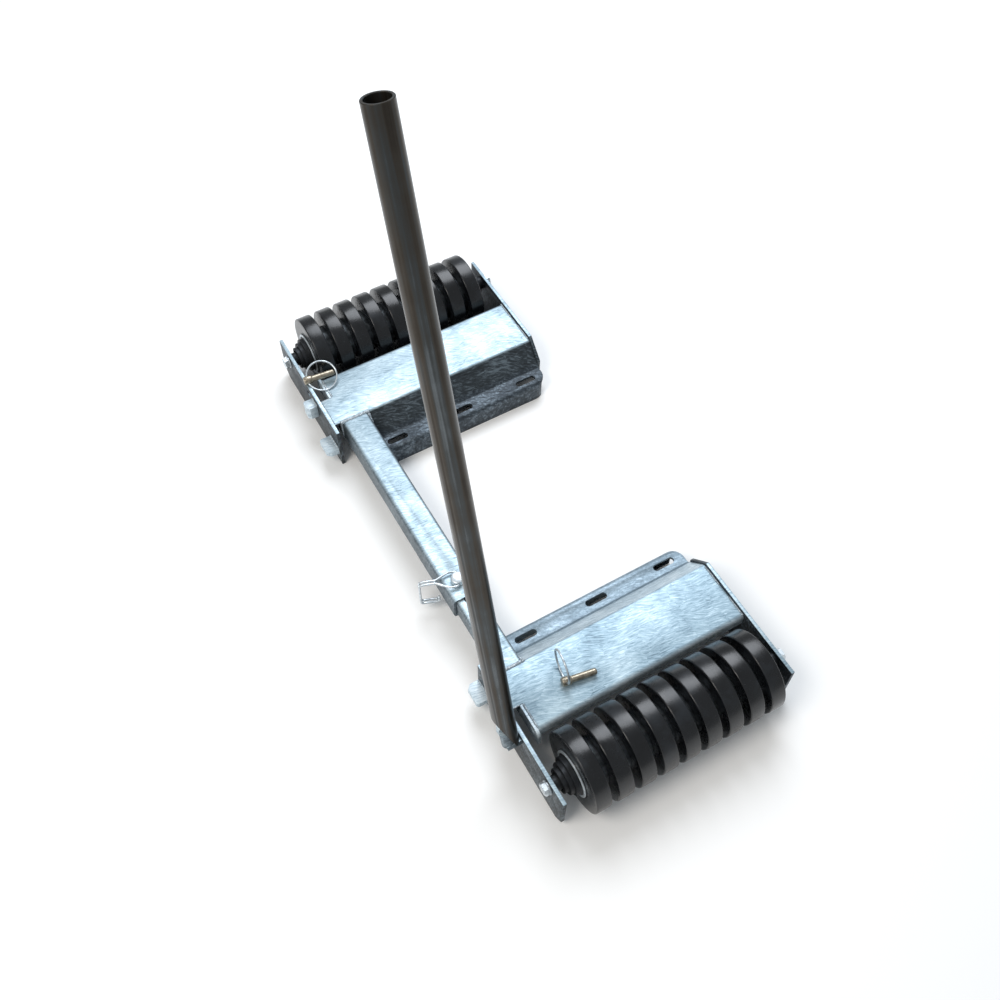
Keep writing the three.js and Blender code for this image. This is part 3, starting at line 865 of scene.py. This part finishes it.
def finish_tree(tree, geometry, material):
    """Makes the geometry real, gives it its material and sends it out of the tree."""
    real = add_node(tree, "GeometryNodeRealizeInstances", {"Geometry": geometry})
    coated = add_node(
        tree, "GeometryNodeSetMaterial", {"Geometry": real.outputs[0], "Material": material}
    )
    add_node(tree, "NodeGroupOutput", {"Geometry": coated.outputs[0]})
    print(tree.name, "has", len(tree.nodes), "nodes")


def baked(name, modifier_tree, ids, values, source=None):
    """Runs a Geometry Nodes tree once and keeps its result as a plain mesh."""
    carrier = source or new_object(name, bpy.data.meshes.new(name))
    modifier = carrier.modifiers.new("nodes", "NODES")
    modifier.node_group = modifier_tree
    for key, value in values.items():
        modifier[ids[key]] = value
    result = bpy.data.meshes.new_from_object(
        carrier.evaluated_get(bpy.context.evaluated_depsgraph_get())
    )
    bpy.data.objects.remove(carrier)
    bm = bmesh.new()
    bm.from_mesh(result)
    return object_from(name, bm)


print("tree helpers ready")

# %% Ring tree
RING = {"outer": 66.5, "core": 38.3, "width": 26, "pitch": 38.7, "first": 35, "count": 9}
RING_INPUTS = (
    ("Outer radius", "NodeSocketFloat", RING["outer"] * MM),
    ("Inner radius", "NodeSocketFloat", RING["core"] * MM),
    ("Ring width", "NodeSocketFloat", RING["width"] * MM),
    ("Pitch", "NodeSocketFloat", RING["pitch"] * MM),
    ("Edge radius", "NodeSocketFloat", 2.2 * MM),
    ("Count", "NodeSocketInt", RING["count"]),
    ("First ring", "NodeSocketVector", (0, 0, 0)),
    ("Rubber", "NodeSocketMaterial", ring_rubber),
)
ring_tree, ring_ids, given = new_tree(
    "Rings on a roller", [(label, kind) for label, kind, _ in RING_INPUTS]
)
depth = add_node(
    ring_tree,
    "ShaderNodeMath",
    {0: given["Outer radius"], 1: given["Inner radius"]},
    operation="SUBTRACT",
)
total = add_node(
    ring_tree,
    "ShaderNodeMath",
    {0: given["Outer radius"], 1: given["Inner radius"]},
    operation="ADD",
)
middle = add_node(
    ring_tree, "ShaderNodeMath", {0: total.outputs[0], 1: 0.5}, operation="MULTIPLY"
)
rectangle = add_node(
    ring_tree,
    "GeometryNodeCurvePrimitiveQuadrilateral",
    {"Width": depth.outputs[0], "Height": given["Ring width"]},
)
rounded = add_node(
    ring_tree,
    "GeometryNodeFilletCurve",
    {"Curve": rectangle.outputs[0], "Radius": given["Edge radius"], "Count": 5},
    mode="POLY",
)
circle = add_node(
    ring_tree,
    "GeometryNodeCurvePrimitiveCircle",
    {"Resolution": 96, "Radius": middle.outputs[0]},
)
one_ring = add_node(
    ring_tree,
    "GeometryNodeCurveToMesh",
    {"Curve": circle.outputs["Curve"], "Profile Curve": rounded.outputs[0]},
)
smooth_ring = add_node(
    ring_tree, "GeometryNodeSetShadeSmooth", {"Geometry": one_ring.outputs["Mesh"]}
)
step = add_node(ring_tree, "ShaderNodeCombineXYZ", {"X": given["Pitch"]})
places = add_node(
    ring_tree,
    "GeometryNodeMeshLine",
    {
        "Count": given["Count"],
        "Start Location": given["First ring"],
        "Offset": step.outputs[0],
    },
)
copies = add_node(
    ring_tree,
    "GeometryNodeInstanceOnPoints",
    {
        "Points": places.outputs["Mesh"],
        "Instance": smooth_ring.outputs[0],
        "Rotation": (0, math.pi / 2, 0),
    },
)
finish_tree(ring_tree, copies.outputs[0], given["Rubber"])

# %% Rings on both rollers
AXLE_Y = 461.5
AXLE_Z = 71
for unit, side in SIDES.items():
    values = {name: default for name, _, default in RING_INPUTS}
    values["First ring"] = at(
        RING["first"] + RING["width"] / 2, side * AXLE_Y, AXLE_Z
    )
    rings = baked(f"{unit}_rubber_rings", ring_tree, ring_ids, values)
    stands_for = [f"{unit}_rubber_ring_{i + 1}" for i in range(RING["count"])]
    finish_piece(rings, f"{unit}_roller", ring_rubber, stands_for)
    low = [round(min(v.co[i] for v in rings.data.vertices), 4) for i in range(3)]
    print(rings.name, triangles(rings), "triangles, low corner", low)

# %% [markdown]
# ## Roller tube, housings and hardware
# Everything here was turned on a lathe or cold headed, so each piece is a profile spun about its
# axis. A hexagon head is not round: its outline follows the hexagon, while its top is chamfered
# by a cone, which leaves the familiar curved edge on every flat.

# %% Turned pieces on the axle
TURN_TO_X = Matrix.Rotation(math.radians(90), 3, "Y")
TURN_TO_MINUS_X = Matrix.Rotation(math.radians(-90), 3, "Y")


def on_axle(unit, end="left"):
    """Places a piece turned about Z on the axle, measured inwards from a side plate's face."""
    y = SIDES[unit] * AXLE_Y
    if end == "left":
        return placed(0, y, AXLE_Z, TURN_TO_X)
    return placed(CLEAR_WIDTH, y, AXLE_Z, TURN_TO_MINUS_X)


CORE_R = 38
CORE_BORE = 34
RIM_END = 34
tube_profile = [
    (CORE_BORE, RIM_END),
    (CORE_R, RIM_END),
    (CORE_R, CLEAR_WIDTH - RIM_END),
    (CORE_BORE, CLEAR_WIDTH - RIM_END),
    (CORE_BORE, RIM_END),
]
rim_profile = [
    (CORE_BORE, 32),
    (CORE_R - 0.6, 32),
    (CORE_R, 32.6),
    (CORE_R, RIM_END),
    (CORE_BORE, RIM_END),
    (CORE_BORE, 32),
]
housing_profile = [
    (14.5, 10.4),
    (14.9, 10),
    (19.4, 10),
    (20, 10.6),
    (20, 17),
    (25.4, 17),
    (26, 17.6),
    (26, 24),
    (30.4, 24),
    (31, 24.6),
    (31, 31),
    (33.2, 32.4),
    (33.7, 33),
    (33.7, 46),
    (18.3, 46),
    (18.3, 31),
    (14.5, 31),
    (14.5, 10.4),
]
washer_profile = [
    (6.5, -8.8),
    (11.6, -8.8),
    (12, -8.4),
    (12, -6.7),
    (11.6, -6.3),
    (6.5, -6.3),
    (6.5, -8.8),
]


def hexagon_head(across, base, height, shank_r, shank_end):
    """A hexagon head with a chamfered top at -Z and a plain shank that runs to +Z."""
    bm = bmesh.new()
    per_flat = 8
    count = 6 * per_flat
    flat_r = across / 2
    chamfer_r = 0.94 * flat_r
    rings = [[], [], [], [], []]
    for i in range(count):
        angle = 2 * math.pi * i / count
        off_flat = (angle + math.pi / 6) % (math.pi / 3) - math.pi / 6
        edge_r = flat_r / math.cos(off_flat)
        top = -height + (edge_r - chamfer_r) * math.tan(math.radians(30))
        for ring, (radius, z) in zip(
            rings,
            (
                (chamfer_r, base - height),
                (edge_r, base + top),
                (edge_r, base),
                (shank_r, base),
                (shank_r, shank_end),
            ),
        ):
            ring.append(
                bm.verts.new((radius * math.cos(angle), radius * math.sin(angle), z))
            )
    for low, high in zip(rings, rings[1:]):
        for i in range(count):
            j = (i + 1) % count
            bm.faces.new((low[i], low[j], high[j], high[i]))
    bm.faces.new(rings[0])
    bm.faces.new(rings[-1])
    return bm


for unit in SIDES:
    tube = object_from(f"{unit}_roller_tube_finished", lathe(tube_profile, 80), on_axle(unit))
    finish_piece(
        tube, f"{unit}_roller", roller_tube_painted_shade, [f"{unit}_roller_tube"]
    )
    for end in ("left", "right"):
        place = on_axle(unit, end)
        stem = f"{unit}_{end}"
        # The faced end of the roller tube is bare and bright, against the painted shade on the rest
        # of the tube
        rim_ring = object_from(f"{stem}_tube_rim", lathe(rim_profile, 80), place)
        finish_piece(rim_ring, f"{unit}_roller", bright_zinc)
        housing = object_from(f"{stem}_housing_finished", lathe(housing_profile, 72), place)
        finish_piece(
            housing, f"{unit}_roller", dark_steel, [f"{stem}_bearing_housing"]
        )
        washer = object_from(f"{stem}_washer_finished", lathe(washer_profile, 56), place)
        finish_piece(washer, f"{unit}_frame", bright_zinc, [f"{stem}_washer"])
        head = hexagon_head(across=19, base=-9.1, height=7.5, shank_r=6, shank_end=22)
        bolt = object_from(f"{stem}_axle_bolt_finished", head, place)
        finish_piece(bolt, f"{unit}_frame", bright_zinc, [f"{stem}_axle_bolt"])
        nodes[f"{stem}_bearing"].data.materials.clear()
        nodes[f"{stem}_bearing"].data.materials.append(bright_zinc)
    nodes[f"{unit}_axle"].data.materials.clear()
    nodes[f"{unit}_axle"].data.materials.append(dark_steel)
    print(unit, "roller and hardware done")

# %% [markdown]
# ## Bent wire with Geometry Nodes
# The clip of the beam pin and the rings of the linch pins are round wire bent along a route. A
# tree smooths the route, resamples it evenly and sweeps a circle along it. The clip is one doubled
# wire: both ends sit in the hole across the pin's head, and it is closed where it turns back.

# %% Wire tree
wire_tree, wire_ids, given = new_tree(
    "Bent wire",
    (
        ("Route", "NodeSocketGeometry"),
        ("Wire radius", "NodeSocketFloat"),
        ("Step", "NodeSocketFloat"),
        ("Finish", "NodeSocketMaterial"),
    ),
)
soft_route = add_node(
    wire_tree,
    "GeometryNodeCurveSplineType",
    {"Curve": given["Route"]},
    spline_type="CATMULL_ROM",
)
even = add_node(
    wire_tree,
    "GeometryNodeResampleCurve",
    {"Curve": soft_route.outputs[0], "Length": given["Step"]},
    mode="LENGTH",
)
section = add_node(
    wire_tree,
    "GeometryNodeCurvePrimitiveCircle",
    {"Resolution": 16, "Radius": given["Wire radius"]},
)
swept = add_node(
    wire_tree,
    "GeometryNodeCurveToMesh",
    {
        "Curve": even.outputs[0],
        "Profile Curve": section.outputs["Curve"],
        "Fill Caps": True,
    },
)
finish_tree(wire_tree, swept.outputs[0], given["Finish"])


# %% Bending a wire along a route
def route_curve(name, points, closed=False):
    curve = bpy.data.curves.new(name, "CURVE")
    curve.dimensions = "3D"
    spline = curve.splines.new("POLY")
    spline.points.add(len(points) - 1)
    for target, point in zip(spline.points, points):
        target.co = (*point, 1)
    spline.use_cyclic_u = closed
    return new_object(name, curve)


def bent_wire(name, points, radius, finish, closed=False):
    values = {"Wire radius": radius * MM, "Step": radius * MM * 0.7, "Finish": finish}
    route = route_curve(name + "_route", points, closed)
    return baked(name, wire_tree, wire_ids, values, route)


print("wire bending ready")

# %% [markdown]
# ## Beam pin and clip
# The pin has a thick flat head with a cross hole for the clip. From the head the two wires run
# side by side to the left, drop beside the tube and turn back towards it, which keeps the pin from
# jumping out. The clip turns on the pin, so it is a body of its own.

# %% Pin and clip
pin_place = placed(BEAM_X, PIN_Y, 83, Matrix.Rotation(math.radians(-20), 3, "Z"))
pin_profile = [
    (0, -59),
    (3.6, -59),
    (4.2, -58.7),
    (6, -55),
    (6, 0),
    (10.4, 0),
    (11, 0.6),
    (11, 9.6),
    (10.6, 10.5),
    (9.6, 11),
    (0, 11),
]
head_hole = lathe([(0, -14), (2.3, -14), (2.3, 14), (0, 14)], 24)
bmesh.ops.rotate(
    head_hole, verts=head_hole.verts, matrix=Matrix.Rotation(math.radians(90), 3, "X")
)
bmesh.ops.translate(head_hole, verts=head_hole.verts, vec=(0, 0, 5.5))
head_hole.transform(placed(0, 0, 0).inverted() @ pin_place)
beam_pin = object_from("beam_pin_finished", lathe(pin_profile, 64), pin_place)
beam_pin = cut_away(beam_pin, [head_hole])
beam_pin = soften_object(beam_pin, 0.25, above=60)
finish_piece(beam_pin, "beam_pin", bright_zinc, ["beam_pin"])

WIRE_R = 2
head_side = 11 + 0.3 + WIRE_R
pair = 2.7
reach = -62
run_z = 5.5
low_z = run_z - 60
half_clip = [
    (0, 3.2, run_z),
    (0, head_side - 2.4, run_z),
    (-0.7, head_side - 0.5, run_z),
    (-2.8, head_side, run_z),
    (-14, head_side, run_z),
    (-33.6, pair + 1, run_z),
    (-39.2, pair, run_z),
    (reach + 7, pair, run_z),
    (reach + 1.5, pair, run_z - 1.5),
    (reach, pair, run_z - 7),
    (reach, pair, low_z + 7),
    (reach + 1.5, pair, low_z + 1.5),
    (reach + 7, pair, low_z),
    (-38, pair, low_z),
    (-33.5, pair, low_z + 2),
    (-32, pair, low_z + 5.5),
]
clip_route = half_clip + [(-32, 0, low_z + 8)]
clip_route += [(x, -y, z) for x, y, z in reversed(half_clip)]
clip = bent_wire(
    "beam_pin_clip_finished",
    [pin_place @ Vector(point) for point in clip_route],
    WIRE_R,
    bright_zinc,
)
finish_piece(clip, "beam_pin_clip", bright_zinc, ["beam_pin_clip"])
print("beam pin", triangles(beam_pin), "clip", triangles(clip), "triangles")

# %% [markdown]
# ## Linch pins
# A linch pin has a cross-drilled head and a spring ring through it. One pin lies on the near deck
# with its ring standing up; the other lies across the left plate of the far unit with its ring
# folded over the shank.

# %% Linch pins and rings
linch_profile = [
    (0, -7),
    (5.6, -7),
    (7, -6.2),
    (7.5, -4.8),
    (7.5, 6.4),
    (7.2, 7.2),
    (5.5, 9),
    (5.5, 46.5),
    (5, 48.4),
    (3.4, 50),
    (0, 50),
]
RING_R = 27
LINCH_POSES = {
    "near": ((97, -341, 90.8), (-36, -10), 92),
    "far": ((-1, 382, 97.8), (28, -6), 0),
}
for unit, (spot, (roll, yaw), swing) in LINCH_POSES.items():
    turn = Matrix.Rotation(math.radians(yaw), 3, "Z") @ Matrix.Rotation(
        math.radians(roll), 3, "X"
    )
    place = placed(*spot, turn)
    eye = lathe([(0, -10), (2.4, -10), (2.4, 10), (0, 10)], 24)
    bmesh.ops.rotate(
        eye, verts=eye.verts, matrix=Matrix.Rotation(math.radians(90), 3, "X")
    )
    eye.transform(placed(0, 0, 0).inverted() @ place)
    body_bm = lathe(linch_profile, 48)
    body_bm.transform(TURN_TO_X.to_4x4())
    pin = object_from(f"{unit}_linch_pin_finished", body_bm, place)
    pin = soften_object(cut_away(pin, [eye]), 0.25, above=60)
    finish_piece(pin, f"{unit}_linch_pin", yellow_zinc, [f"{unit}_linch_pin"])
    tilt = Matrix.Rotation(-math.radians(swing), 4, "Y")
    circle_points = [
        place @ tilt @ Vector((x, y, 0))
        for x, y in arc((RING_R - 0.5, 0), RING_R, 0, 360, 36)[:-1]
    ]
    ring = bent_wire(f"{unit}_linch_ring_finished", circle_points, 1.7, bright_zinc, True)
    finish_piece(ring, f"{unit}_linch_ring", bright_zinc, [f"{unit}_linch_ring"])
    print(unit, "linch pin", triangles(pin), "ring", triangles(ring), "triangles")

# %% [markdown]
# ## Weld beads with Geometry Nodes
# The frames were welded before they were dipped. A bead is a row of overlapping ripples, one for
# each pause of the torch, and thick zinc rounds them. The tree resamples a path at the ripple
# pitch and puts a flattened ball on each point, turned along the path and scaled at random from a
# fixed seed, then makes the instances real.

# %% Weld tree
weld_tree, weld_ids, given = new_tree(
    "Weld bead",
    (
        ("Path", "NodeSocketGeometry"),
        ("Bead radius", "NodeSocketFloat"),
        ("Ripple pitch", "NodeSocketFloat"),
        ("Metal", "NodeSocketMaterial"),
    ),
)
ripples = add_node(
    weld_tree,
    "GeometryNodeCurveToPoints",
    {"Curve": given["Path"], "Length": given["Ripple pitch"]},
    mode="LENGTH",
)
ball = add_node(
    weld_tree,
    "GeometryNodeMeshUVSphere",
    {"Segments": 12, "Rings": 8, "Radius": given["Bead radius"]},
)
smooth_ball = add_node(
    weld_tree, "GeometryNodeSetShadeSmooth", {"Geometry": ball.outputs["Mesh"]}
)
size = add_node(
    weld_tree,
    "FunctionNodeRandomValue",
    {"Min": (0.8, 0.85, 0.6), "Max": (1.2, 1.2, 0.8), "Seed": 11},
    data_type="FLOAT_VECTOR",
)
beads = add_node(
    weld_tree,
    "GeometryNodeInstanceOnPoints",
    {
        "Points": ripples.outputs["Points"],
        "Instance": smooth_ball.outputs[0],
        "Rotation": ripples.outputs["Rotation"],
        "Scale": size.outputs[0],
    },
)
finish_tree(weld_tree, beads.outputs[0], given["Metal"])


# %% Weld paths on both frames
def weld_paths(unit):
    """Start and end of each bead on one unit, with its radius, in millimetres."""
    half_tube = TUBE_SIDE[unit] / 2
    left = BEAM_X - half_tube
    right = BEAM_X + half_tube
    tube_top = BEAM_Z + half_tube
    seam = DECK_TOP + 0.2
    return [
        ((left - 1, 276.5, 82.6), (right + 1, 276.5, 82.6), 3.4 if unit == "far" else 3),
        ((left - 0.5, 278, tube_top), (left - 0.5, 278, BEAM_Z - 12), 2.6),
        ((right + 1, 246, 45), (right + 1, 276, 81), 2.6),
        ((1, 281, seam), (1, 333, seam), 2.3),
        ((NOTCH_WIDTH + 0.4, 339, 82.8), (NOTCH_WIDTH + 0.4, 379, 82.8), 2.1),
        ((2, 336, 81.5), (18, 336, 81.5), 1.8),
        ((CLEAR_WIDTH - 1, 282, seam), (CLEAR_WIDTH - 1, 318, seam), 1.7),
        ((CLEAR_WIDTH - 1, 346, seam), (CLEAR_WIDTH - 1, 381, seam), 1.7),
        ((-6.6, 256, 43.2), (-6.6, 289, 43.2), 2.2),
        ((-6.6, 339, 75.2), (-6.6, 357, 75.2), 2.2),
    ]


for unit, side in SIDES.items():
    beads_made = []
    for i, (start, end, radius) in enumerate(weld_paths(unit)):
        a = at(start[0], side * start[1], start[2])
        b = at(end[0], side * end[1], end[2])
        path = route_curve(f"{unit}_weld_path_{i}", [a, b])
        values = {
            "Bead radius": radius * MM,
            "Ripple pitch": radius * MM * 0.75,
            "Metal": weld_metal,
        }
        beads_made.append(baked(f"bead_{i}", weld_tree, weld_ids, values, path))
    welds = joined(f"{unit}_weld_beads", beads_made)
    finish_piece(welds, f"{unit}_frame", weld_metal)
    print(welds.name, triangles(welds), "triangles")

# %% [markdown]
# ## Floor, light and camera
# The cradle stands on a pale, plain floor. Its zinc tops mirror what is above them, so a large
# soft panel over the far side makes them bright, while the rest of the room stays dimmer and
# leaves the sloped webs and the sides of the tubes grey, a grey that their finishes also paint in
# as painted shade. A smaller panel on the left fills them.

# %% Floor
floor_material, tree, shader = new_material("Pale studio floor")
shader.inputs["Base Color"].default_value = linear("#fdfdfc")
shader.inputs["Roughness"].default_value = 0.85
FLOOR_HALF = 25
FLOOR_Z = -0.5 * MM
floor_corners = [
    (x * FLOOR_HALF, y * FLOOR_HALF, FLOOR_Z) for x, y in ((-1, -1), (1, -1), (1, 1), (-1, 1))
]
floor_mesh = bpy.data.meshes.new("floor")
floor_mesh.from_pydata(floor_corners, [], [(0, 1, 2, 3)])
floor = new_object("floor", floor_mesh)
floor.data.materials.append(floor_material)
print("floor is", 2 * FLOOR_HALF, "m wide")


# %% Lights
def soft_panel(name, position, target, size, power, colour):
    light = bpy.data.lights.new(name, "AREA")
    light.shape = "DISK"
    light.size = size
    light.energy = power
    light.color = linear(colour)[:3]
    panel = bpy.data.objects.new(name, light)
    panel.location = position
    aim = Vector(target) - Vector(position)
    panel.rotation_euler = aim.to_track_quat("-Z", "Y").to_euler()
    bpy.context.scene.collection.objects.link(panel)
    return panel


soft_panel("sky_panel", (1.1, 1.7, 2.9), (0, 0, 0), 2.4, 90, "#f3f8ff")
soft_panel("left_fill", (-1.5, -0.4, 2.3), (0, 0, 0.1), 1.2, 30, "#fff8f0")

world = bpy.data.worlds.new("Soft room")
world.use_nodes = True
background = world.node_tree.nodes["Background"]
background.inputs["Color"].default_value = linear("#dfe4e8")
background.inputs["Strength"].default_value = 0.55
bpy.context.scene.world = world
bpy.context.scene.view_settings.view_transform = "Standard"
print("two panels and a soft room")

# %% Camera
camera_data = bpy.data.cameras.new("camera")
camera_data.sensor_width = 36
camera_data.lens = 38.85
camera_data.clip_start = 0.05
camera = bpy.data.objects.new("camera", camera_data)
camera.location = (-0.50685, -0.8659, 1.6009)
camera.rotation_euler = (math.radians(33.2), 0, math.radians(-29.83))
bpy.context.scene.collection.objects.link(camera)
bpy.context.scene.camera = camera
print("camera looks down from", [round(c, 2) for c in camera.location])
